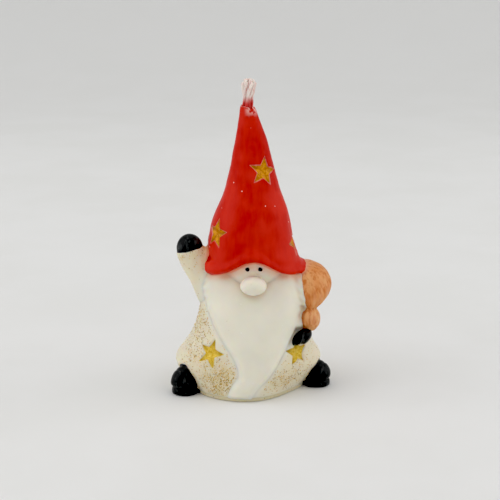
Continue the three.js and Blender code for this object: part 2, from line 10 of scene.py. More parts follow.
import bpy
import numpy as np
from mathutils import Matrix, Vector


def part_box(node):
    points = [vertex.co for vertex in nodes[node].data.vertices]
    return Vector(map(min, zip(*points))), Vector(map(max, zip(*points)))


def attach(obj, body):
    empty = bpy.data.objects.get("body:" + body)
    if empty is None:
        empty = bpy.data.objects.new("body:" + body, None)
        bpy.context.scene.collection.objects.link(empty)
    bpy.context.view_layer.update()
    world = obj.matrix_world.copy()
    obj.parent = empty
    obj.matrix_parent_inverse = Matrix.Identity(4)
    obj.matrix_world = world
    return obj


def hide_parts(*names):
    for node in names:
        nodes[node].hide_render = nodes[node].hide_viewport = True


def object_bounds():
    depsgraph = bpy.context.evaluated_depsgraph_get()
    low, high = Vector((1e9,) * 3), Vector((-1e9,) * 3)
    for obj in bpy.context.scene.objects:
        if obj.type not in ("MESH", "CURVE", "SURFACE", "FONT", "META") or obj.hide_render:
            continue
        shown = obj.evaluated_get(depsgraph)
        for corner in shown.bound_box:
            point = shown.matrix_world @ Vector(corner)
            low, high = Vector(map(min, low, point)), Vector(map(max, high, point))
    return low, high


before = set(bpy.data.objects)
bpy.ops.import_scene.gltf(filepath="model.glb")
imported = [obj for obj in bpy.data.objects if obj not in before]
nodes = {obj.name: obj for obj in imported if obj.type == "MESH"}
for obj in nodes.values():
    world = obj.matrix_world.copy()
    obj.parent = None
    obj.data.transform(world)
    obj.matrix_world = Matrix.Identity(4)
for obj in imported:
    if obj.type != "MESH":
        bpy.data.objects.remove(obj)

import openvdb as vdb
from mathutils import Vector

CAD_BOUNDS = [list(corner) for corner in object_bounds()]

# -------------------- sizes, in millimetres

MM = 0.001
VOXEL = 0.25
BAND = 4.0  # the distance fields are exact up to here
MARGIN = 2.0  # of the grid round the object
CLOSE = 0.2  # seams narrower than twice this are closed
SEAM_OVERLAP = 0.4  # a piece runs on this far under its neighbour
SEAM_SINK = 0.16  # and dips this much on the way
SEAM_FADE = 0.35  # a piece's own shaping dies away over this far on each side of its seam
WAX_SINK = 0.3  # share of the dip where both sides are bare wax
EDGE_WOBBLE = 0.14  # of the brush along a colour's edge
EDGE_BLUR = 0.35
CAVITY_BLUR = 1.1

SMOOTH_OPEN = 1.6  # blur of the open surfaces
SMOOTH_SEAM = 0.8  # blur beside a seam between two large pieces
SMOOTH_SMALL = 0.5  # blur of the small pieces

HAT_ARCH_HEIGHT = 6.0  # rise of the rim over the face
HAT_ARCH_SPREAD = 31.0  # bearing over which it dies away, degrees
LOBE_SPREAD = 0.95  # how far the rim's side lobes reach over their neighbours
BEARD_SPREAD = 0.55  # how far the beard reaches over the sack
LOBE_SWELL = 0.9  # swellings of the wax, outward
RIM_SWELL = 0.35
HEM_SWELL = 0.8
CUFF_SWELL = 0.8
TIP_ROUND = 0.9  # the tip's edge is rounded off by this
BRIM_GROOVE = 0.42  # depths of grooves and lines
SOLE_GROOVE = 0.42
PAINT_GROOVE = 0.12
BOOT_CREASE = 0.2
HAIR_DEPTH = 0.08
FOLD_DEPTH = 0.15

STAR_FILL = 0.36  # the stars and eyes lie this far under the surface round them
STAR_RATIO = 0.46  # inner corners over tips
STAR_RIM = 0.35  # how far the recess stands outside the gold
STAR_THICKNESS = 1.0
STAR_WALL = 0.42  # depth just inside the recess's edge
STAR_HOLLOW = {"hat": 0.8, "coat": 0.65}  # further depth at the middle
STAR_WOBBLE = {"hat": 0.2, "coat": 0.3}  # of the gold's edge

EYE_SWELL = 1.08  # the dab's radius over the solid's
EYE_HEIGHT = 0.24

WICK_CORE_RADIUS = 1.4
WICK_DIP = 0.3  # the joined form of the wick ends this far under the hat's tip
WICK_LEAN = 0.55  # of the stub's top to the gnome's left
WICK_STRANDS = 17
STRAND_RADIUS = 0.4
STRAND_WAVE = 0.09
FIBRES = 7  # loose ones on each strand

FLAKES = {"coat": 2600, "right_sleeve": 150, "base_layer": 60}
FLAKE_FLOOR = 0.45  # no flake lies lower than this
FLAKE_RADIUS = (0.08, 0.2)
FLAKE_LEVELS = (-0.05, 0.035)  # underside and top

CAMERA_DISTANCE = 420.0
CAMERA_ELEVATION = 15.0
CAMERA_TARGET_HEIGHT = 44.85
CAMERA_LENS = 94.65
BLACK_LEVEL = 0.02  # of the picture's tone curve

rng = np.random.default_rng(20)

BOOTS = ("right_boot", "left_boot")
SOLES = ("right_boot_sole", "left_boot_sole")
MITTENS = ("right_mitten", "left_mitten")
SACKS = ("sack", "sack_mouth")
EYES = ("right_eye", "left_eye")
STARS = {
    "hat_star_front": "hat", "hat_star_right": "hat", "hat_star_left": "hat", "hat_star_back": "hat",
    "coat_star_right": "coat", "coat_star_left": "coat", "coat_star_back": "coat",
}
FORMS = [name for name in sorted(nodes) if name not in STARS and name not in EYES]
SMALL = ("nose", "sack_mouth") + MITTENS + BOOTS + SOLES
PAINTED = ("hat",) + MITTENS + BOOTS + SACKS
WAX = ("beard", "coat", "head", "base_layer", "right_sleeve", "left_sleeve")
PAINT_THICKNESS = {
    "hat": 0.06, **dict.fromkeys(MITTENS + BOOTS + SOLES, 0.07), **dict.fromkeys(SACKS, 0.03),
}

# -------------------- grid and fields


def box_mm(node):
    low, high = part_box(node)
    return np.array(low) / MM, np.array(high) / MM


def mesh_arrays(node):
    mesh = nodes[node].data
    points = np.empty(3 * len(mesh.vertices), np.float32)
    mesh.vertices.foreach_get("co", points)
    mesh.calc_loop_triangles()
    triangles = np.empty(3 * len(mesh.loop_triangles), np.int32)
    mesh.loop_triangles.foreach_get("vertices", triangles)
    return points.reshape(-1, 3) / MM, triangles.reshape(-1, 3).astype(np.uint32)


transform = vdb.createLinearTransform(voxelSize=VOXEL)
LOW, HIGH = (np.array(corner) / MM for corner in CAD_BOUNDS)
FIRST = np.floor((LOW - MARGIN) / VOXEL).astype(int)
SHAPE = np.ceil((HIGH + MARGIN) / VOXEL).astype(int) - FIRST + 1
AXES = [(FIRST[k] + np.arange(SHAPE[k])) * VOXEL for k in range(3)]
WHOLE = tuple(slice(0, int(count)) for count in SHAPE)


def part_round(low, high, reach):
    """The part of the grid within reach of a box."""
    start = np.maximum(np.floor((low - reach) / VOXEL).astype(int) - FIRST, 0)
    stop = np.minimum(np.ceil((high + reach) / VOXEL).astype(int) - FIRST + 1, SHAPE)
    return tuple(slice(int(a), int(b)) for a, b in zip(start, stop))


def coordinates(part):
    """x, y and z of a part of the grid, ready to broadcast."""
    x, y, z = (AXES[k][part[k]].astype(np.float32) for k in range(3))
    return x[:, None, None], y[None, :, None], z[None, None, :]


def along(part, origin, direction):
    """Distance from an origin along a direction, over a part of the grid."""
    return sum((axis - origin[k]) * direction[k] for k, axis in enumerate(coordinates(part)))


def distance_field(points, faces, part):
    grid = vdb.FloatGrid.createLevelSetFromPolygons(
        points, transform=transform, halfWidth=BAND / VOXEL, **faces
    )
    values = np.full([s.stop - s.start for s in part], BAND, np.float32)
    grid.copyToArray(values, ijk=tuple(int(FIRST[k] + part[k].start) for k in range(3)))
    return values


def surface(values, part, level=0.0):
    """The quad surface of a field at a level, its largest shell only."""
    grid = vdb.FloatGrid(BAND)
    grid.transform = transform
    start = tuple(int(FIRST[k] + part[k].start) for k in range(3))
    grid.copyFromArray(np.ascontiguousarray(values), ijk=start)
    points, quads = grid.convertToQuads(level)
    return largest_shell(points, quads.astype(np.int64))


def largest_shell(points, quads):
    label = np.arange(len(points))
    one = quads[:, :3].ravel()
    other = quads[:, 1:].ravel()
    while len(one):
        high = np.maximum(label[one], label[other])
        np.minimum.at(label, high, np.minimum(label[one], label[other]))
        shorter = label[label]
        while not np.array_equal(shorter, label):
            label = shorter
            shorter = label[label]
        apart = label[one] != label[other]
        one, other = one[apart], other[apart]
    names, counts = np.unique(label[quads[:, 0]], return_counts=True)
    keep = label[quads[:, 0]] == names[counts.argmax()]
    used, index = np.unique(quads[keep], return_inverse=True)
    return points[used], index.reshape(-1, 4)


def blurred(values, sigma):
    """The field after a Gaussian blur of sigma millimetres."""
    reach = int(math.ceil(2.6 * sigma / VOXEL))
    weights = np.exp(-0.5 * (np.arange(-reach, reach + 1) * VOXEL / sigma) ** 2)
    weights = (weights / weights.sum()).astype(np.float32)
    for axis in range(3):
        pads = [(reach, reach) if k == axis else (0, 0) for k in range(3)]
        wide = np.pad(values, pads, mode="edge")
        total = np.zeros_like(values)
        for j, weight in enumerate(weights):
            cut = [slice(None)] * 3
            cut[axis] = slice(j, j + values.shape[axis])
            total += weight * wide[tuple(cut)]
        values = total
    return values


def smoothed(values, sigma):
    """A blur that keeps the larger shapes at their size."""
    once = blurred(values, sigma)
    return 2 * once - blurred(once, sigma)


def ramp(values, start, stop):
    """0 at start, 1 at stop, with a smooth step between."""
    t = np.clip((values - start) / (stop - start), 0.0, 1.0)
    return t * t * (3.0 - 2.0 * t)


def bell(values, width):
    """1 at zero, dying away on both sides over a width."""
    return np.exp(-((values / width) ** 2))


def unit(vector):
    return vector / np.linalg.norm(vector)


def noise(part, cell, seed):
    """Smooth noise of about -1 to 1 over a part of the grid, with features of a cell's size."""
    lattice_rng = np.random.default_rng(seed)
    counts = [int(math.ceil((HIGH[k] - LOW[k] + 2 * MARGIN) / cell)) + 5 for k in range(3)]
    field = lattice_rng.uniform(-1.6, 1.6, counts).astype(np.float32)
    for k in range(3):
        place = (AXES[k][part[k]] - LOW[k] + MARGIN) / cell + 1.0
        base = np.floor(place).astype(int)
        t = (place - base).astype(np.float32)
        spline = (
            (1 - t) ** 3 / 6, (3 * t**3 - 6 * t**2 + 4) / 6,
            (-3 * t**3 + 3 * t**2 + 3 * t + 1) / 6, t**3 / 6,
        )
        along = [1, 1, 1]
        along[k] = len(place)
        field = sum(
            field.take(base + offset - 1, axis=k) * weight.reshape(along).astype(np.float32)
            for offset, weight in enumerate(spline)
        )
    return field


def sampled(values, points, part=WHOLE):
    """The field at points, in millimetres, with its neighbours mixed."""
    start = np.array([FIRST[k] + part[k].start for k in range(3)])
    place = np.clip(points / VOXEL - start, 0, np.array(values.shape) - 1.001)
    base = place.astype(int)
    t = place - base
    total = np.zeros(len(points))
    for corner in np.ndindex(2, 2, 2):
        weight = np.ones(len(points))
        for k in range(3):
            weight *= t[:, k] if corner[k] else 1 - t[:, k]
        total += weight * values[tuple((base + np.array(corner)).T)]
    return total


def gradient(values, points, part=WHOLE):
    step = VOXEL * np.eye(3)
    rise = [sampled(values, points + s, part) - sampled(values, points - s, part) for s in step]
    slope = np.stack(rise, axis=1)
    return slope / np.maximum(np.linalg.norm(slope, axis=1, keepdims=True), 1e-9)


# -------------------- the solids, joined

parts = {name: part_round(*box_mm(name), BAND) for name in nodes}
fields = {}
for name in list(STARS) + list(EYES) + FORMS:
    points, triangles = mesh_arrays(name)
    fields[name] = distance_field(points, {"triangles": triangles}, parts[name])


def common_part(a, b):
    """Slices of parts a and b where they overlap."""
    start = [max(a[k].start, b[k].start) for k in range(3)]
    stop = [min(a[k].stop, b[k].stop) for k in range(3)]
    in_a = tuple(slice(start[k] - a[k].start, stop[k] - a[k].start) for k in range(3))
    in_b = tuple(slice(start[k] - b[k].start, stop[k] - b[k].start) for k in range(3))
    return in_a, in_b


for star, parent in STARS.items():
    in_parent, in_star = common_part(parts[parent], parts[star])
    filled = fields[star][in_star] - STAR_FILL
    fields[parent][in_parent] = np.minimum(fields[parent][in_parent], filled)

head_low, head_high = box_mm("head")
head_centre = (head_low + head_high) / 2
head_radii = (head_high - head_low) / 2
eye_frames = {}
for eye in EYES:
    low, high = box_mm(eye)
    centre = (low + high) / 2
    normal = unit((centre - head_centre) / head_radii**2)
    eye_frames[eye] = (centre, normal)
    in_head, in_eye = common_part(parts["head"], parts[eye])
    plug = np.maximum(fields[eye] - STAR_FILL, along(parts[eye], centre, normal))[in_eye]
    fields["head"][in_head] = np.minimum(fields["head"][in_head], plug)

# The wick fills its hole in the wax and ends where the hat does.
hat_low, hat_high = box_mm("hat")
wick_z = coordinates(parts["wick"])[2]
fields["wick"] = np.maximum(fields["wick"], wick_z - (hat_high[2] - WICK_DIP))

nearest = np.full(SHAPE, BAND, np.float32)
for name in FORMS:
    nearest[parts[name]] = np.minimum(nearest[parts[name]], fields[name])
shell_points, shell_quads = surface(nearest, WHOLE, CLOSE)
shell_faces = {"quads": shell_quads.astype(np.uint32)}
joined = distance_field(shell_points, shell_faces, WHOLE) + CLOSE

# The two nearest pieces everywhere. Where a fillet fills a corner, the reach says whose colour wins.
REACH = {"beard": 0.45, "hat": -1.5, "head": 0.35}
nearest = np.full(SHAPE, BAND, np.float32)
second = np.full(SHAPE, BAND, np.float32)
owner = np.full(SHAPE, -1, np.int8)
for i, name in enumerate(FORMS):
    part = parts[name]
    field = fields[name] - REACH.get(name, 0.0)
    second[part] = np.minimum(second[part], np.maximum(nearest[part], field))
    owner[part] = np.where(field < nearest[part], i, owner[part])
    nearest[part] = np.minimum(nearest[part], field)

# -------------------- smoothing

near_small = np.full(SHAPE, BAND, np.float32)
for name in SMALL:
    near_small[parts[name]] = np.minimum(near_small[parts[name]], fields[name])
z_all = coordinates(WHOLE)[2]
tip_share = ramp(z_all, hat_high[2] - 9.0, hat_high[2] - 3.0)
foot_share = ramp(z_all, 3.0, 1.5)
open_share = ramp(second, 0.8, 3.4) * (1 - tip_share) * (1 - foot_share)
small_share = np.maximum(ramp(near_small, 2.0, 0.6), np.maximum(tip_share, foot_share))
form = smoothed(joined, SMOOTH_SEAM)
form += open_share * (smoothed(joined, SMOOTH_OPEN) - form)
form += small_share * (smoothed(joined, SMOOTH_SMALL) - form)

# -------------------- who owns what

edge_noise = EDGE_WOBBLE * noise(WHOLE, 1.3, 1) + 0.5 * EDGE_WOBBLE * noise(WHOLE, 0.6, 2)
edges = {}
for i, name in enumerate(FORMS):
    part = parts[name]
    other = np.where(owner[part] == i, second[part], nearest[part])
    edges[name] = blurred((fields[name] - REACH.get(name, 0.0) - other) / 2, EDGE_BLUR)
for name in FORMS:
    sign = -1.0 if name in PAINTED else 1.0
    edges[name] = edges[name] + sign * edge_noise[parts[name]]


def spread_edge(winner, distance, share):
    """Moves a piece's seams outward over its neighbours. The share is laid out like the piece's field."""
    edges[winner] -= distance * share
    for loser in FORMS:
        in_winner, in_loser = common_part(parts[winner], parts[loser])
        if loser != winner and all(cut.stop > cut.start for cut in in_winner):
            taken = -edges[winner][in_winner]
            edges[loser][in_loser] = np.maximum(edges[loser][in_loser], taken)


# The rim's two side lobes stand over the coat and the sack.
hat_x, hat_y, hat_z = coordinates(parts["hat"])
right_lobe = ramp(hat_x, hat_low[0] + 6, hat_low[0] + 2) * ramp(hat_z, hat_low[2] + 6, hat_low[2] + 3)
left_lobe = ramp(hat_x, hat_high[0] - 6, hat_high[0] - 2) * ramp(hat_z, hat_low[2] + 9, hat_low[2] + 6)
spread_edge("hat", LOBE_SPREAD, np.maximum(right_lobe, left_lobe))
beard_x, _, beard_z = coordinates(parts["beard"])
in_beard, in_sack = common_part(parts["beard"], parts["sack"])
sack_share = np.zeros(edges["beard"].shape, np.float32)
sack_share[in_beard] = ramp(fields["sack"][in_sack], 2.0, 0.4)
spread_edge("beard", BEARD_SPREAD, sack_share * ramp(beard_z, hat_low[2] + 1, hat_low[2] - 1))

# -------------------- sculpting


def push(name, depth):
    """Lowers the surface that a piece owns by depth, which may vary."""
    part = parts[name]
    form[part] += ramp(edges[name], SEAM_FADE, -SEAM_FADE) * depth


def lumps(name, *layers):
    """Lumps of hand-finished wax: each layer has a depth, the size of its lumps and a seed."""
    push(name, sum(depth * noise(parts[name], cell, seed) for depth, cell, seed in layers))


def groove(name, depth, width):
    """A groove along the piece's seams."""
    form[parts[name]] += depth * bell(edges[name], width)


# Height above the rim of the hat, which arches over the face.
hat_bearing = np.degrees(np.arctan2(hat_x, -hat_y))
rise = hat_z - hat_low[2] - HAT_ARCH_HEIGHT * bell(hat_bearing, HAT_ARCH_SPREAD)
push("hat", -LOBE_SWELL * right_lobe * bell(rise - 2.4, 2.2))
in_hat, in_wick = common_part(parts["hat"], parts["wick"])
tip_round = np.ones(edges["hat"].shape, np.float32)
tip_round[in_hat] = ramp(fields["wick"][in_wick], 0.2, 0.9)
push("hat", TIP_ROUND * tip_round * ramp(hat_z, hat_high[2] - 1.3, hat_high[2]))
brim_wave = 0.7 * np.sin(np.radians(5 * hat_bearing + 40)) + 0.5 * noise(parts["hat"], 6.0, 3)
push("hat", BRIM_GROOVE * bell(rise - 3.6 - brim_wave, 1.5))
push("hat", -RIM_SWELL * bell(rise - 1.0, 1.1))
lumps("hat", (0.16, 5.0, 4), (0.075, 2.2, 5), (0.03, 0.9, 6))

# Pits where air was trapped in the mould: height share, distance from the middle, radius, depth.
HAT_PITS = (
    (0.925, -0.9, 0.75, 0.3), (0.935, 0.2, 0.5, 0.25), (0.905, 0.9, 0.55, 0.2), (0.87, -0.5, 0.4, 0.2),
    (0.80, 0.3, 0.9, 0.3), (0.785, 1.6, 0.7, 0.3), (0.745, 0.6, 0.8, 0.25), (0.70, 1.2, 0.6, 0.2),
    (0.55, -1.7, 0.5, 0.22), (0.46, -1.2, 0.8, 0.25), (0.42, 0.6, 0.9, 0.2), (0.30, -5.2, 0.9, 0.22),
    (0.25, 3.9, 0.8, 0.2), (0.17, 6.0, 0.8, 0.2),
)
pits = np.zeros(edges["hat"].shape, np.float32)
for share, aside, radius, depth in HAT_PITS:
    height = hat_low[2] + share * (hat_high[2] - hat_low[2])
    away = ((hat_x - aside) ** 2 + (hat_z - height) ** 2) / radius**2
    pits += depth * np.exp(-away) * (hat_y < 0)
push("hat", pits)

# The coat's hem swells at both sides, and the raised sleeve on its outer side under the cuff.
coat_low, coat_high = box_mm("coat")
lumps("coat", (0.16, 7.0, 7), (0.05, 2.4, 8))
coat_x, coat_y, coat_z = coordinates(parts["coat"])
hem_share = ramp(np.abs(coat_x), 17.0, 22.0) * bell(coat_z - 9.3, 2.8) * ramp(coat_y, 12.0, 4.0)
push("coat", -HEM_SWELL * hem_share)
lumps("beard", (0.1, 8.0, 9), (0.025, 2.5, 10))
lumps("right_sleeve", (0.12, 4.0, 11))
cuff_low, cuff_high = box_mm("right_sleeve")
cuff_x, _, cuff_z = coordinates(parts["right_sleeve"])
cuff_share = bell(cuff_z - cuff_high[2] + 6.5, 4.0) * ramp(cuff_x, cuff_low[0] + 9, cuff_low[0] + 2)
push("right_sleeve", -CUFF_SWELL * cuff_share)
lumps("head", (0.04, 4.0, 12))
lumps("nose", (0.05, 3.0, 13))

# Hair lines at the sides of the beard.
beard_low, beard_high = box_mm("beard")
beard_middle = (beard_low[0] + beard_high[0]) / 2
beard_half = (beard_high[0] - beard_low[0]) / 2
beard_aside = np.abs(beard_x - beard_middle)
hair = np.sin(2.6 * beard_z + 1.9 * beard_aside + 1.5 * noise(parts["beard"], 4.0, 14))
hair_share = ramp(beard_aside / beard_half, 0.72, 0.98)
hair_share = hair_share * ramp(beard_z, beard_low[2] + 12, beard_low[2] + 20)
push("beard", HAIR_DEPTH * hair * hair_share)

# Folds of the sack, which run together at its neck.
sack_low, sack_high = box_mm("sack")
mouth_low, mouth_high = box_mm("sack_mouth")
neck = np.array([(mouth_low[0] + mouth_high[0]) / 2, (mouth_low[1] + mouth_high[1]) / 2, sack_low[2]])
sack_lean = 0.35 * (sack_high[1] - neck[1]) / (sack_high[2] - neck[2])
for name, folds in (("sack", 11), ("sack_mouth", 9)):
    x, y, z = coordinates(parts[name])
    around = np.arctan2(y - neck[1] - sack_lean * (z - neck[2]), x - neck[0])
    fade = np.exp(-np.abs(z - neck[2]) / 5.5)
    wander = 2.4 * noise(parts[name], 5.0, 15)
    push(name, (0.02 + FOLD_DEPTH * fade) * np.sin(folds * around + wander))
    lumps(name, (0.28, 4.2, 16), (0.1, 1.7, 17))

for name in BOOTS + MITTENS:
    lump = 0.34 if name == "left_mitten" else 0.18
    lumps(name, (lump, 2.6, 18), (0.07, 1.1, 19))
    groove(name, PAINT_GROOVE, 0.3)
for name in SOLES:
    groove(name, SOLE_GROOVE, 0.32)
    lumps(name, (0.1, 1.6, 20))

# A crease over each boot behind its toe.
for name in BOOTS:
    low, high = box_mm(name)
    middle = (low + high) / 2
    toeward = unit(np.array([middle[0], middle[1] - 6.0, 0.0]))
    above_sole = coordinates(parts[name])[2] - low[2]
    crease = along(parts[name], middle, toeward) - 0.6 - 0.25 * above_sole
    push(name, BOOT_CREASE * bell(crease + 0.3 * noise(parts[name], 3.0, 21), 0.45))

# -------------------- stars


def star_frame(star):
    """Centre, right and up directions of a star, its turn, and the reach of its tips."""
    points, _ = mesh_arrays(star)
    centre = (points.min(axis=0) + points.max(axis=0)) / 2
    outward = gradient(form, centre[None])[0]
    right = unit(np.cross((0.0, 0.0, 1.0), outward))
    up = np.cross(outward, right)
    for _ in range(30):  # the tips pull the centre to the middle between them
        aside = (points - centre) @ right
        above = (points - centre) @ up
        reach = np.hypot(aside, above)
        pull = (reach / reach.max()) ** 16
        centre += 0.3 * ((pull @ aside) * right + (pull @ above) * up) / pull.sum()
    spin = np.angle(np.sum(pull * np.exp(5j * np.arctan2(aside, above)))) / 5
    return centre, right, up, spin, reach.max()


def star_outline(aside, above, spin, tip):
    """Signed distance to a star's outline in its plane, and each point's reach as a share of the edge's."""
    fifth = 2 * math.pi / 5
    bearing = np.arctan2(aside, above) - spin
    folded = np.abs((bearing + fifth / 2) % fifth - fifth / 2)
    away = np.hypot(aside, above)
    inner = STAR_RATIO * tip
    corner = np.array([inner * math.cos(fifth / 2), inner * math.sin(fifth / 2)])
    side = unit(corner - np.array([tip, 0.0]))
    outside = side[1] * (away * np.cos(folded) - tip) - side[0] * away * np.sin(folded)
    edge = tip * inner * math.sin(fifth / 2)
    edge = edge / (tip * np.sin(folded) + inner * np.sin(fifth / 2 - folded))
    return outside, away / edge


star_edges = {}
star_depths = np.full(SHAPE, 2.0, np.float32)
for star, parent in STARS.items():
    centre, right, up, spin, tip = star_frame(star)
    part = part_round(*box_mm(star), 2.0)
    parts[star] = part
    aside = along(part, centre, right)
    above = along(part, centre, up)
    wall, share = star_outline(aside, above, spin, tip + STAR_RIM)
    form[part] += STAR_WALL * ramp(wall, 0.1, -0.4) + STAR_HOLLOW[parent] * np.clip(1 - share, 0, 1)
    star_depths[part] = np.minimum(star_depths[part], share)
    gold, _ = star_outline(aside, above, spin, tip)
    wobble = STAR_WOBBLE[parent] * noise(part, 1.1, 30) + 0.2 * noise(part, 2.8, 31)
    limit = np.maximum(gold + wobble, -(form[part] + STAR_THICKNESS))
    in_star, in_parent = common_part(part, parts[parent])
    parent_edge = np.full(limit.shape, BAND, np.float32)
    parent_edge[in_star] = edges[parent][in_parent]
    star_edges[star] = np.maximum(limit, parent_edge)
    edges[parent][in_parent] = np.maximum(edges[parent][in_parent], -star_edges[star][in_star])

form = np.maximum(form, -z_all)  # nothing reaches below the floor
cavity = -blurred(form, CAVITY_BLUR)

# -------------------- meshes


def placed(data):
    """A new object for a mesh, lamp or camera, in the scene."""
    piece = bpy.data.objects.new(data.name, data)
    bpy.context.scene.collection.objects.link(piece)
    return piece


def new_object(name, points, faces):
    mesh = bpy.data.meshes.new(name)
    mesh.from_pydata((np.asarray(points) * MM).tolist(), [], [list(face) for face in faces])
    mesh.update()
    mesh.shade_smooth()
    return placed(mesh)


def ring_band(start, count):
    """The faces between a ring of points and the next one."""
    quads = []
    for k in range(count):
        after = (k + 1) % count
        quads.append((start + k, start + after, start + count + after, start + count + k))
    return quads


def quad_object(name, points, quads):
    mesh = bpy.data.meshes.new(name)
    mesh.vertices.add(len(points))
    mesh.vertices.foreach_set("co", (points * MM).astype(np.float32).ravel())
    mesh.loops.add(quads.size)
    mesh.loops.foreach_set("vertex_index", quads.astype(np.int32).ravel())
    mesh.polygons.add(len(quads))
    mesh.polygons.foreach_set("loop_start", np.arange(0, quads.size, 4, dtype=np.int32))
    mesh.update(calc_edges=True)
    mesh.validate()
    mesh.shade_smooth()
    return placed(mesh)


def paint(piece, name, values):
    """A number for each vertex, which the materials read by name."""
    layer = piece.data.attributes.new(name, "FLOAT", "POINT")
    layer.data.foreach_set("value", np.asarray(values, np.float32))


def away_from(name, points):
    """Distance from a CAD solid at points, up to the band."""
    away = np.full(len(points), BAND)
    low, high = box_mm(name)
    inside = np.all((points > low - BAND) & (points < high + BAND), axis=1)
    away[inside] = sampled(fields[name], points[inside], parts[name])
    return away


pieces = {}
piece_points = {}
for name in [form_name for form_name in FORMS if form_name != "wick"] + list(STARS):
    part = parts[name]
    edge = star_edges[name] if name in STARS else edges[name]
    sink = WAX_SINK * SEAM_SINK if name in WAX else SEAM_SINK
    sunk = form[part] + sink * ramp(edge, -0.15, SEAM_OVERLAP) - PAINT_THICKNESS.get(name, 0.0)
    sunk = np.maximum(sunk, -coordinates(part)[2])
    points, quads = surface(np.maximum(sunk, edge - SEAM_OVERLAP), part)
    piece = quad_object(f"{name}_form", points, quads)
    points = points.astype(float)
    pieces[name] = piece
    piece_points[name] = points
    paint(piece, "cavity", sampled(cavity, points))
    paint(piece, "star", sampled(star_depths, points))
    paint(piece, "beard_away", away_from("beard", points))
    paint(piece, "hat_away", away_from("hat", points))

# -------------------- eyes


def dab(name, centre, normal, radius, height, seed):
    """A drop of paint: a low dome with an uneven outline, closed underneath."""
    shape_rng = np.random.default_rng(seed)
    side = unit(np.cross(normal, (0.0, 0.0, 1.0)))
    up = np.cross(side, normal)
    around = np.linspace(0, 2 * math.pi, 28, endpoint=False)
    outline = 1 + sum(
        shape_rng.uniform(-0.055, 0.055) * np.cos(lobes * around + shape_rng.uniform(0, 6.3))
        for lobes in (2, 3, 4, 5)
    )
    rings = [(1.0, -0.25), (1.02, 0.0), (0.9, 0.45), (0.7, 0.75), (0.42, 0.93), (0.15, 1.0)]
    points = [centre - 0.35 * radius * normal]
    for reach, lift in rings:
        for angle, wobble in zip(around, outline):
            flat = radius * reach * wobble * (math.cos(angle) * side + math.sin(angle) * up)
            points.append(centre + flat + height * lift * normal)
    points.append(centre + height * normal)
    count = len(around)
    last = 1 + (len(rings) - 1) * count
    faces = []
    for start in range(1, last, count):
        faces += ring_band(start, count)
    for k in range(count):
        after = (k + 1) % count
        faces.append((0, 1 + after, 1 + k))
        faces.append((last + k, last + after, len(points) - 1))
    return new_object(name, points, faces)


for k, (eye, (centre, normal)) in enumerate(eye_frames.items()):
    low, high = box_mm(eye)
    start = centre + 1.5 * normal
    for _ in range(12):
        start = start - sampled(form, start[None])[0] * normal
    radius = (high[0] - low[0]) / 2 * EYE_SWELL
    pieces[eye] = dab(f"{eye}_dab", start + 0.03 * normal, normal, radius, EYE_HEIGHT, 40 + k)

# -------------------- wick


def tube(path, radii, sides):
    """Points and faces of a closed tube along a path."""
    path = np.asarray(path, float)
    tangents = np.gradient(path, axis=0)
    tangents /= np.linalg.norm(tangents, axis=1, keepdims=True)
    side = np.cross(tangents[0], (0.0, 1.0, 0.0))
    points = []
    for at, tangent, radius in zip(path, tangents, radii):
        side = unit(side - tangent * np.dot(side, tangent))
        front = np.cross(tangent, side)
        for k in range(sides):
            angle = 2 * math.pi * k / sides
            points.append(at + radius * (math.cos(angle) * side + math.sin(angle) * front))
    last = (len(path) - 1) * sides
    faces = []
    for start in range(0, last, sides):
        faces += ring_band(start, sides)
    faces.append(tuple(range(sides))[::-1])
    faces.append(tuple(range(last, last + sides)))
    return points, faces


wick_points, _ = mesh_arrays("wick")
wick_low, wick_high = box_mm("wick")
hat_tip = np.array([0.0, 0.0, hat_high[2]])
tip_ring = wick_points[np.abs(wick_points[:, 2] - hat_high[2]) < 2.5]
hat_tip[:2] = tip_ring[:, :2].mean(axis=0)


def wick_axis(z):
    """Middle of the CAD wick at a height inside the wax."""
    near = wick_points[np.abs(wick_points[:, 2] - z) < 2.6]
    return np.array([near[:, 0].mean(), near[:, 1].mean(), z])


core_path = [wick_axis(z) for z in np.linspace(wick_low[2], hat_high[2] - 0.5, 24)]
wick_mesh_points = []
wick_mesh_faces = []
wick_ply = []


def add_tube(path, radii, sides, ply):
    points, faces = tube(path, radii, sides)
    offset = len(wick_mesh_points)
    wick_mesh_points.extend(points)
    wick_mesh_faces.extend([tuple(offset + k for k in face) for face in faces])
    wick_ply.extend([ply] * len(points))


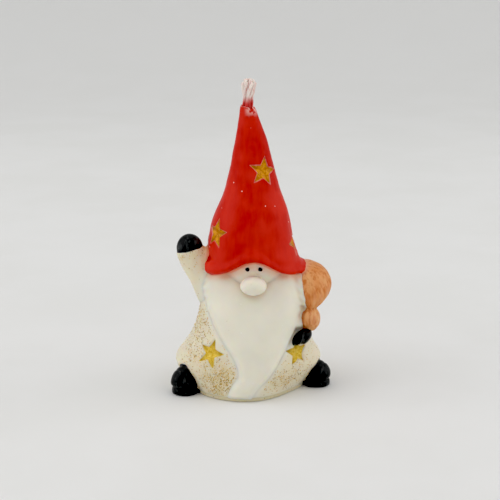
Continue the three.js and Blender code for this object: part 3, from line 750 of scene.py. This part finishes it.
add_tube(core_path, [WICK_CORE_RADIUS] * len(core_path), 16, 0.5)
wick_length = wick_high[2] - hat_high[2]
golden_angle = math.pi * (3 - math.sqrt(5))
for k in range(WICK_STRANDS):
    spread = math.sqrt((k + 0.5) / WICK_STRANDS)
    angle = golden_angle * k
    turn = rng.uniform(0.5, 0.8)
    top = wick_length * (1.0 - 0.16 * spread**2 + rng.uniform(-0.07, 0.0))
    fan = rng.uniform(0.95, 1.12)
    phase = rng.uniform(0, 6.3, 2)
    path = []
    radii = []
    for t in np.linspace(-0.22, 1.0, 22):
        pinch = 1.62 - 0.2 * bell(t - 0.28, 0.16)
        fray = 1.15 * max(t - 0.25, 0.0) ** 1.1
        reach = spread * (pinch + fan * fray)
        bend = angle + turn * t
        path.append((
            hat_tip[0] + reach * math.cos(bend) + WICK_LEAN * max(t, 0.0) ** 1.3
            + STRAND_WAVE * math.sin(7 * t + phase[0]),
            hat_tip[1] + 0.9 * reach * math.sin(bend) + STRAND_WAVE * math.sin(6 * t + phase[1]),
            hat_tip[2] + top * t,
        ))
        taper = math.sqrt(max(1 - (max(t - 0.9, 0.0) / 0.105) ** 2, 0.05))
        radii.append((STRAND_RADIUS + 0.12 * max(t, 0.0)) * taper)
    add_tube(path, radii, 9, rng.uniform())
    for _ in range(FIBRES):
        begin = rng.integers(8, 17)
        away = rng.normal(0, 1, 3)
        away[2] = abs(away[2])
        away = unit(away)
        root = np.array(path[begin]) + 0.36 * away * np.array([1, 1, 0])
        length = 0.8 * rng.uniform(0.8, 2.0)
        fibre = []
        for i, t in enumerate(np.linspace(0, 1, 7)):
            at = root + np.array([0, 0, length * t]) + 0.35 * t**2 * away
            at[2] = min(at[2], wick_high[2] + 0.3 + 0.15 * i)
            fibre.append(at)
        add_tube(fibre, np.linspace(0.085, 0.045, len(fibre)), 5, rng.uniform())
wick = new_object("wick_strands", wick_mesh_points, wick_mesh_faces)
paint(wick, "ply", wick_ply)
paint(wick, "above_tip", (np.array(wick_mesh_points)[:, 2] - hat_high[2]) / wick_length)
pieces["wick"] = wick

# The red paint is worn off round the tip of the hat.
tip_points = piece_points["hat"]
bare = ramp(tip_points[:, 2], hat_high[2] - 4.2, hat_high[2] - 1.4)
bare *= ramp(tip_points[:, 0] - hat_tip[0], -1.2, 0.6)
bare = np.maximum(bare, ramp(tip_points[:, 2], hat_high[2] - 0.9, hat_high[2] - 0.3))
paint(pieces["hat"], "bare", bare)

# -------------------- glitter

# Where the glitter lies on the coat: shares of the coat's box in x and z, spread in x and z, weight, side.
GLITTER = (
    (0.34, 0.13, 0.055, 0.06, 2.6, -1), (0.24, 0.15, 0.06, 0.05, 1.0, -1), (0.19, 0.27, 0.09, 0.07, 0.7, -1),
    (0.17, 0.6, 0.05, 0.08, 0.9, -1), (0.15, 0.45, 0.07, 0.1, 0.45, -1), (0.74, 0.12, 0.08, 0.05, 1.7, -1),
    (0.86, 0.25, 0.08, 0.08, 0.5, -1), (0.3, 0.04, 0.07, 0.03, 1.4, -1), (0.36, 0.2, 0.07, 0.1, 0.7, -1),
    (0.6, 0.16, 0.09, 0.07, 1.6, 1), (0.3, 0.35, 0.1, 0.1, 0.9, 1), (0.55, 0.6, 0.1, 0.12, 0.7, 1),
)
glitter_points = []
glitter_faces = []
glitter_tone = []
coat_span = coat_high - coat_low


def glitter_density(points):
    """How thickly the glitter lies at points of the coat."""
    share = (points - coat_low) / coat_span
    density = np.full(len(points), 0.03)
    for across, up, wide, tall, weight, facing in GLITTER:
        near = np.exp(-0.5 * (((share[:, 0] - across) / wide) ** 2 + ((share[:, 2] - up) / tall) ** 2))
        density += weight * near * (np.sign(points[:, 1]) == facing)
    return density


def add_flakes(name, density):
    """Small flat flakes of gold, strewn over the skin of a piece."""
    points = piece_points[name]
    on_skin = (np.abs(sampled(form, points)) < 0.03) & (sampled(edges[name], points, parts[name]) < -0.2)
    weight = density * on_skin * (points[:, 2] > FLAKE_FLOOR)
    chosen = rng.choice(len(points), FLAKES[name], replace=True, p=weight / weight.sum())
    normals = gradient(form, points[chosen])
    for at, normal in zip(points[chosen], normals):
        side = unit(np.cross(normal, rng.normal(0, 1, 3)))
        tilt = unit(normal + 0.25 * rng.normal(0, 1, 3))
        side = unit(side - tilt * np.dot(side, tilt))
        front = np.cross(tilt, side)
        shift = rng.normal(0, 0.12, 2)
        middle = at + shift[0] * side + shift[1] * front + 0.005 * normal
        radius = rng.uniform(*FLAKE_RADIUS)
        corners = rng.integers(5, 8)
        stretch = rng.uniform(0.6, 1.0)
        offset = len(glitter_points)
        for level in FLAKE_LEVELS:
            for k in range(corners):
                angle = 2 * math.pi * k / corners
                flat = math.cos(angle) * side + stretch * math.sin(angle) * front
                glitter_points.append(middle + radius * flat + level * tilt)
        glitter_faces.append(tuple(offset + k for k in range(corners))[::-1])
        glitter_faces.append(tuple(offset + corners + k for k in range(corners)))
        glitter_faces.extend(ring_band(offset, corners))
        glitter_tone.extend([rng.uniform()] * (2 * corners))


coat_density = glitter_density(piece_points["coat"])
up_sleeve = (piece_points["right_sleeve"][:, 2] - cuff_low[2]) / (cuff_high[2] - cuff_low[2])
cuff_density = ramp(up_sleeve, 0.55, 0.95)
add_flakes("coat", coat_density)
add_flakes("right_sleeve", 0.08 + cuff_density)
add_flakes("base_layer", np.ones(len(piece_points["base_layer"])))
paint(pieces["coat"], "glitter", coat_density)
paint(pieces["right_sleeve"], "glitter", 0.1 + 0.7 * cuff_density)
glitter = new_object("gold_glitter", glitter_points, glitter_faces)
for polygon in glitter.data.polygons:
    polygon.use_smooth = False
paint(glitter, "tone", glitter_tone)

# -------------------- materials


class Nodes:
    """A short way to write a material's node tree."""

    def __init__(self, name):
        self.material = bpy.data.materials.new(name)
        self.material.use_nodes = True
        self.tree = self.material.node_tree
        self.tree.nodes.clear()
        self.shader = self.node("BsdfPrincipled")
        self.node("OutputMaterial", Surface=self.shader.outputs[0])
        self.place = self.node("TexCoord").outputs["Object"]

    def link(self, value, socket):
        if isinstance(value, bpy.types.NodeSocket):
            self.tree.links.new(value, socket)
        else:
            socket.default_value = value

    def fill(self, node, inputs):
        for name, value in inputs.items():
            self.link(value, node.inputs[name.replace("_", " ")])

    def node(self, kind, **inputs):
        """A new node, with inputs by name, each a number, a vector or another node's output."""
        node = self.tree.nodes.new(f"ShaderNode{kind}")
        self.fill(node, inputs)
        return node

    def set(self, **inputs):
        self.fill(self.shader, inputs)

    def math(self, kind, a, b=0.0):
        node = self.node("Math")
        node.operation = kind
        self.link(a, node.inputs[0])
        self.link(b, node.inputs[1])
        return node.outputs[0]

    def times(self, a, b):
        return self.math("MULTIPLY", a, b)

    def blend(self, a, b, share):
        """A number that is a share of a, and the rest of b."""
        return self.math("ADD", self.times(a, share), self.times(b, 1.0 - share))

    def stretch(self, scale, turn=(0.0, 0.0, 0.0)):
        return self.node("Mapping", Vector=self.place, Scale=scale, Rotation=turn).outputs[0]

    def along(self, axis):
        """Distance from the middle of the object along an axis, in millimetres."""
        return self.math("DIVIDE", self.node("SeparateXYZ", Vector=self.place).outputs[axis], MM)

    def noise(self, size, detail=3.0, where=None, distortion=0.0):
        """Noise with features of a size in millimetres."""
        node = self.node(
            "TexNoise", Vector=where or self.place, Scale=1.0 / (size * MM), Detail=detail,
            Roughness=0.55, Distortion=distortion,
        )
        return node.outputs["Fac"]

    def specks(self, spacing, radius, share):
        """1 inside a share of small round specks, whose radius is a share of their spacing."""
        cells = self.node("TexVoronoi", Vector=self.place, Scale=1.0 / (spacing * MM))
        spot = self.step(cells.outputs["Distance"], radius, 0.7 * radius)
        lot = self.node("SeparateColor", Color=cells.outputs["Color"]).outputs[0]
        return self.times(spot, self.math("LESS_THAN", lot, share))

    def step(self, value, start, stop, low=0.0, high=1.0):
        """A smooth step from low at start to high at stop."""
        node = self.node("MapRange", Value=value, From_Min=start, From_Max=stop, To_Min=low, To_Max=high)
        node.interpolation_type = "SMOOTHSTEP"
        return node.outputs[0]

    def attribute(self, name):
        node = self.node("Attribute")
        node.attribute_name = name
        return node.outputs["Fac"]

    def mix(self, share, a, b):
        """A colour between a and b, which is b where the share is 1."""
        node = self.node("Mix")
        node.data_type = "RGBA"
        self.link(share, node.inputs[0])
        for value, socket in ((a, node.inputs[6]), (b, node.inputs[7])):
            self.link((*value, 1.0) if isinstance(value, tuple) else value, socket)
        return node.outputs[2]

    def bump(self, height, depth):
        return self.node("Bump", Height=height, Distance=depth * MM).outputs[0]


# Base colours of the paints, dyes and stray specks, with the painted shade of the wax's hollows, the painted
# red glow from the hat and the hat's paler flanks, which are partly a painted reflection.
IVORY = (0.83, 0.8, 0.69)
IVORY_PAINTED_SHADE = (0.75, 0.61, 0.44)
PAINTED_RED_GLOW = (0.85, 0.36, 0.2)
RED_RUN = (0.8, 0.13, 0.07)
RED_DARK = (0.5, 0.016, 0.012)
RED_LIGHT = (0.6, 0.03, 0.018)
RED_THIN_AND_SHEEN = (0.67, 0.046, 0.03)
RED_POOLED = (0.42, 0.006, 0.003)
PINK_RIM = (0.78, 0.3, 0.26)
PINK_TIP = (0.85, 0.42, 0.38)
GOLD_HAZE = (0.68, 0.52, 0.16)
GOLD_SPECK = (0.52, 0.32, 0.07)
DIRT = (0.3, 0.22, 0.12)
BLOOM = (0.95, 0.94, 0.9)


def wax_material(name, base, deep, rough, glow=0.62, glow_reach=3.2, dusted=False):
    """Translucent wax: red dye runs onto it right at the hat's edge, a painted red glow of the hat's light
    lies on it within glow_reach of the hat, and painted shade darkens its hollows.
    """
    n = Nodes(name)
    cloud = n.noise(9.0, 2.0)
    colour = n.mix(n.step(cloud, 0.3, 0.75), base, tuple(0.94 * c for c in base))
    # Painted shade: the wax darkens to its deep colour in hollows and creases.
    colour = n.mix(n.step(n.attribute("cavity"), 0.02, 0.4, 0.0, 0.75), colour, deep)
    # Painted red glow: the hat's red light through the wax, laid on as colour within glow_reach of the hat.
    near = n.step(n.attribute("hat_away"), glow_reach, 0.0)
    patchy = n.times(near, n.step(n.noise(4.0, 2.0), 0.2, 0.8, 0.45, 1.0))
    colour = n.mix(n.times(patchy, glow), colour, PAINTED_RED_GLOW)
    close = n.step(n.attribute("hat_away"), 0.9, 0.1)
    colour = n.mix(n.times(close, 0.75), colour, RED_RUN)
    if dusted:
        beside = n.times(n.step(n.attribute("beard_away"), 3.2, 0.3), 0.8)
        colour = n.mix(beside, colour, IVORY)
        clump = n.times(n.step(n.attribute("glitter"), 0.1, 1.6), n.step(n.noise(1.6, 3.0), 0.35, 0.6))
        colour = n.mix(n.times(clump, 0.36), colour, GOLD_HAZE)
        colour = n.mix(n.times(n.specks(0.4, 0.3, 0.4), clump), colour, GOLD_SPECK)
    colour = n.mix(n.times(n.specks(2.6, 0.05, 0.5), 0.45), colour, DIRT)
    colour = n.mix(n.times(n.specks(3.1, 0.07, 0.35), 0.5), colour, BLOOM)
    fine = n.noise(0.8, 4.0)
    scratch = n.noise(2.2, 3.0, where=n.stretch((1.0, 1.0, 0.35), (0.5, 0.2, 0.3)))
    n.set(
        Base_Color=colour,
        Roughness=n.step(fine, 0.3, 0.7, rough - 0.06, rough + 0.08),
        Normal=n.bump(n.blend(fine, scratch, 0.4), 0.06),
        Subsurface_Weight=0.85,
        Subsurface_Radius=(1.0, 0.72, 0.42),
        Subsurface_Scale=1.3 * MM,
        IOR=1.44,
    )
    return n.material


def red_material():
    """Brushed red dye, paler on the flanks, partly as thin paint and partly as a painted reflection of the
    white surroundings, and gone from the rims of the stars and the tip.
    """
    n = Nodes("red_paint")
    upright = n.noise(1.5, 4.0, where=n.stretch((1.0, 1.0, 0.16)))
    slanted = n.noise(1.7, 4.0, where=n.stretch((1.0, 0.6, 0.14), (0.0, 0.75, 0.3)))
    patch = n.noise(11.0, 2.0)
    stroke = n.mix(n.step(n.noise(14.0, 1.0), 0.42, 0.58), upright, slanted)
    mottle = n.blend(stroke, n.noise(7.0, 2.0), 0.5)
    colour = n.mix(n.step(mottle, 0.34, 0.66), RED_DARK, RED_LIGHT)
    # Paler on the flanks: partly thinner paint in patches, partly a painted reflection of the white
    # surroundings on the hat's sides.
    flank_thin_and_sheen = n.step(n.math("ABSOLUTE", n.along("X")), 4.0, 14.0)
    colour = n.mix(n.blend(flank_thin_and_sheen, n.step(patch, 0.45, 0.7), 0.5), colour, RED_THIN_AND_SHEEN)
    pooled = n.step(n.attribute("cavity"), 0.08, 0.35, 0.0, 0.8)
    colour = n.mix(pooled, colour, RED_POOLED)
    rim = n.step(n.attribute("star"), 1.02, 0.96)
    rim = n.times(rim, n.step(n.noise(1.4, 2.0), 0.35, 0.6, 0.35, 0.95))
    colour = n.mix(rim, colour, PINK_RIM)
    tip = n.times(n.attribute("bare"), n.step(n.noise(1.3, 3.0), 0.4, 0.55))
    colour = n.mix(tip, colour, PINK_TIP)
    colour = n.mix(n.specks(3.4, 0.06, 0.6), colour, (0.9, 0.7, 0.66))
    n.set(
        Base_Color=colour,
        Roughness=n.step(stroke, 0.3, 0.7, 0.3, 0.44),
        Normal=n.bump(n.blend(stroke, n.noise(0.5, 3.0), 0.75), 0.12),
        Coat_Weight=0.03,
        Coat_Roughness=0.16,
        Specular_IOR_Level=0.06,
    )
    return n.material


def black_material():
    n = Nodes("black_paint")
    smear = n.noise(1.4, 4.0, where=n.stretch((1.0, 0.5, 0.6), (0.4, 0.3, 0.8)))
    colour = n.mix(n.step(smear, 0.45, 0.75), (0.004, 0.0045, 0.005), (0.016, 0.018, 0.019))
    worn = n.times(n.step(n.attribute("cavity"), -0.12, -0.4), n.step(smear, 0.5, 0.7))
    colour = n.mix(n.times(worn, 0.6), colour, (0.07, 0.075, 0.075))
    colour = n.mix(n.specks(1.9, 0.07, 0.35), colour, (0.18, 0.18, 0.16))
    n.set(
        Base_Color=colour,
        Roughness=n.step(smear, 0.35, 0.7, 0.28, 0.52),
        Normal=n.bump(n.blend(smear, n.noise(0.45, 2.0), 0.7), 0.14),
        Coat_Weight=0.04,
        Coat_Roughness=0.22,
        Specular_IOR_Level=0.16,
    )
    return n.material


def sack_material():
    n = Nodes("sack_paint")
    streak = n.noise(1.1, 4.0, where=n.stretch((1.0, 1.0, 0.2), (0.0, 0.2, 0.0)))
    cloud = n.noise(5.0, 2.0)
    colour = n.mix(n.step(cloud, 0.3, 0.7), (0.69, 0.28, 0.09), (0.76, 0.4, 0.175))
    colour = n.mix(n.step(streak, 0.43, 0.64, 0.0, 0.75), colour, (0.54, 0.15, 0.025))
    colour = n.mix(n.step(n.attribute("cavity"), 0.0, 0.22, 0.0, 0.8), colour, (0.42, 0.12, 0.03))
    colour = n.mix(n.step(n.attribute("cavity"), -0.15, -0.45, 0.0, 0.45), colour, (0.8, 0.47, 0.27))
    # Painted red glow from the hat: pink laid on within 2.5 mm of the hat.
    near = n.step(n.attribute("hat_away"), 2.5, 0.0, 0.0, 0.6)
    colour = n.mix(near, colour, (0.8, 0.4, 0.32))
    n.set(
        Base_Color=colour,
        Roughness=n.step(streak, 0.3, 0.7, 0.32, 0.5),
        Normal=n.bump(n.blend(streak, n.noise(0.6, 3.0), 0.7), 0.12),
        Subsurface_Weight=0.4,
        Subsurface_Radius=(1.0, 0.6, 0.35),
        Subsurface_Scale=0.9 * MM,
        Specular_IOR_Level=0.2,
    )
    return n.material


def gold_material(name, light, dark):
    n = Nodes(name)
    stroke = n.noise(0.9, 4.0, distortion=0.6)
    colour = n.mix(n.step(stroke, 0.35, 0.65), dark, light)
    deep = n.step(n.attribute("cavity"), 0.05, 0.4, 0.0, 0.75)
    colour = n.mix(deep, colour, tuple(0.55 * c for c in dark))
    pearl = n.specks(0.3, 0.35, 0.3)
    colour = n.mix(n.times(pearl, 0.35), colour, (0.95, 0.7, 0.2))
    n.set(
        Base_Color=colour,
        Roughness=n.step(stroke, 0.3, 0.7, 0.3, 0.46),
        Normal=n.bump(n.noise(0.6, 3.0), 0.12),
        Metallic=0.2,
        Coat_Weight=0.05,
        Coat_Roughness=0.25,
        Specular_IOR_Level=0.15,
    )
    return n.material


def cotton_material():
    n = Nodes("cotton")
    ply = n.attribute("ply")
    high = n.attribute("above_tip")
    colour = n.mix(n.step(ply, 0.0, 1.0), (0.8, 0.66, 0.6), (0.88, 0.8, 0.74))
    streak = n.noise(0.7, 4.0, where=n.stretch((1.0, 1.0, 0.22)))
    stain = n.times(n.step(streak, 0.5, 0.66), n.step(high, 1.05, 0.2, 0.3, 1.0))
    colour = n.mix(n.times(stain, 0.75), colour, (0.72, 0.16, 0.16))
    foot = n.step(n.math("ADD", high, n.times(streak, 0.3)), 0.5, 0.16)
    colour = n.mix(foot, colour, (0.6, 0.035, 0.03))
    n.set(
        Base_Color=colour,
        Roughness=0.85,
        Normal=n.bump(n.noise(0.25, 3.0, where=n.stretch((1.0, 1.0, 0.3))), 0.1),
        Sheen_Weight=0.25,
        Subsurface_Weight=0.3,
        Subsurface_Radius=(1.0, 0.7, 0.6),
        Subsurface_Scale=0.5 * MM,
    )
    return n.material


def glitter_material():
    n = Nodes("gold_glitter")
    colour = n.mix(n.step(n.attribute("tone"), 0.0, 0.8), (0.3, 0.17, 0.02), (0.78, 0.5, 0.09))
    colour = n.mix(n.step(n.noise(0.2, 2.0), 0.4, 0.6, 0.0, 0.3), colour, (0.8, 0.58, 0.2))
    n.set(
        Base_Color=colour,
        Roughness=n.step(n.noise(0.3, 1.0), 0.3, 0.7, 0.28, 0.5),
        Normal=n.bump(n.noise(0.1, 1.0), 0.01),
        Metallic=0.4,
    )
    return n.material


def floor_material():
    n = Nodes("pale_floor")
    colour = n.mix(n.step(n.noise(60.0, 3.0), 0.35, 0.65), (0.78, 0.78, 0.765), (0.8, 0.8, 0.79))
    # Painted shade: the sweep is made darker towards the back wall.
    colour = n.mix(n.step(n.along("Y"), 300.0, 900.0, 0.0, 0.85), colour, (0.7, 0.7, 0.69))
    n.set(Base_Color=colour, Roughness=0.75, Normal=n.bump(n.noise(1.5, 2.0), 0.02))
    return n.material


# The second colour given to each wax is the painted shade of its hollows.
ivory = wax_material("ivory_wax", IVORY, IVORY_PAINTED_SHADE, 0.42)
face_wax = wax_material("face_wax", (0.83, 0.78, 0.66), (0.83, 0.7, 0.55), 0.42, glow=0.85, glow_reach=3.5)
coat_wax = wax_material("coat_wax", (0.8, 0.73, 0.56), (0.68, 0.51, 0.29), 0.44, dusted=True)
base_wax = wax_material("base_wax", (0.7, 0.62, 0.42), (0.5, 0.41, 0.24), 0.36)
red = red_material()
black = black_material()
sack_paint = sack_material()
hat_gold = gold_material("hat_star_gold", (0.72, 0.32, 0.02), (0.48, 0.165, 0.008))
coat_gold = gold_material("coat_star_gold", (0.78, 0.58, 0.11), (0.62, 0.39, 0.03))
finishes = {}
for material, slot, names in (
    (coat_wax, "coat_wax", ("coat", "right_sleeve", "left_sleeve")),
    (ivory, "ivory_wax", ("beard", "nose")),
    (face_wax, "ivory_wax", ("head",)),
    (base_wax, "base_wax", ("base_layer",)),
    (red, "red_paint", ("hat",)),
    (black, "black_paint", BOOTS + SOLES + MITTENS + EYES),
    (sack_paint, "sack_paint", SACKS),
    (hat_gold, "gold_paint", [star for star in STARS if STARS[star] == "hat"]),
    (coat_gold, "gold_paint", [star for star in STARS if STARS[star] == "coat"]),
    (cotton_material(), "cotton", ("wick",)),
):
    finishes.update(dict.fromkeys(names, (material, slot)))
for name, piece in pieces.items():
    material, slot = finishes[name]
    piece.data.materials.append(material)
    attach(piece, "root")
    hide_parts(name)
glitter.data.materials.append(glitter_material())
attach(glitter, "root")

# -------------------- floor, lights and camera

# The paper sweep: a floor that curves up into a wall behind the object. Its sizes are in metres.
SWEEP_FLOOR = 0.55
SWEEP_RADIUS = 0.7
SWEEP_WALL = 2.4
SWEEP_HALF = 3.0
sweep_profile = [(-SWEEP_HALF, 0.0), (-1.0, 0.0), (0.0, 0.0), (SWEEP_FLOOR, 0.0)]
for angle in np.linspace(0.0, 0.5 * math.pi, 17)[1:]:
    across, up = math.sin(angle), 1 - math.cos(angle)
    sweep_profile.append((SWEEP_FLOOR + SWEEP_RADIUS * across, SWEEP_RADIUS * up))
sweep_profile.append((SWEEP_FLOOR + SWEEP_RADIUS, SWEEP_WALL))
sweep_points = [(x / MM, y / MM, z / MM) for y, z in sweep_profile for x in (-SWEEP_HALF, SWEEP_HALF)]
sweep_faces = [(2 * k, 2 * k + 1, 2 * k + 3, 2 * k + 2) for k in range(len(sweep_profile) - 1)]
floor = new_object("floor", sweep_points, sweep_faces)
floor.data.materials.append(floor_material())


def softbox(name, place, size, power):
    """A softbox that faces the middle of the object. Its place and size are in metres."""
    light = bpy.data.lights.new(name, "AREA")
    light.shape = "RECTANGLE"
    light.size, light.size_y = size
    light.energy = power
    lamp = placed(light)
    lamp.location = place
    lamp.rotation_euler = (Vector((0.0, 0.0, 0.05)) - Vector(place)).to_track_quat("-Z", "Y").to_euler()


softbox("left_softbox", (-0.75, -0.15, 0.5), (0.7, 0.9), 1.6)
softbox("right_softbox", (0.8, 0.0, 0.45), (0.7, 0.8), 1.24)
softbox("top_softbox", (0.0, 0.1, 0.95), (0.9, 0.9), 0.83)

# The light tent: a white sky, a little dimmer on the camera's side.
world = bpy.data.worlds.new("light_tent")
bpy.context.scene.world = world
world.use_nodes = True
sky = world.node_tree
background = sky.nodes["Background"]
direction = sky.nodes.new("ShaderNodeTexCoord")
split = sky.nodes.new("ShaderNodeSeparateXYZ")
sky.links.new(direction.outputs["Generated"], split.inputs[0])
dim = sky.nodes.new("ShaderNodeMapRange")
dim.interpolation_type = "SMOOTHSTEP"
for limit, value in (("From Min", -0.75), ("From Max", 0.1), ("To Min", 0.745), ("To Max", 0.83)):
    dim.inputs[limit].default_value = value
background.inputs["Color"].default_value = (1.0, 1.0, 1.0, 1.0)
sky.links.new(split.outputs["Y"], dim.inputs["Value"])
sky.links.new(dim.outputs[0], background.inputs["Strength"])

scene = bpy.context.scene
scene.view_settings.view_transform = "Standard"
scene.view_settings.use_curve_mapping = True
scene.view_settings.curve_mapping.black_level = (BLACK_LEVEL,) * 3
scene.view_settings.curve_mapping.update()
camera_data = bpy.data.cameras.new("camera")
camera_data.lens = CAMERA_LENS
camera_data.sensor_width = 36.0
camera_data.clip_start = 0.01
camera_data.clip_end = 20.0
camera = placed(camera_data)
elevation = math.radians(CAMERA_ELEVATION)
back = Vector((0.0, -math.cos(elevation), math.sin(elevation)))
camera.location = Vector((0.0, 0.0, CAMERA_TARGET_HEIGHT * MM)) + CAMERA_DISTANCE * MM * back
camera.rotation_euler = back.to_track_quat("Z", "Y").to_euler()
scene.camera = camera
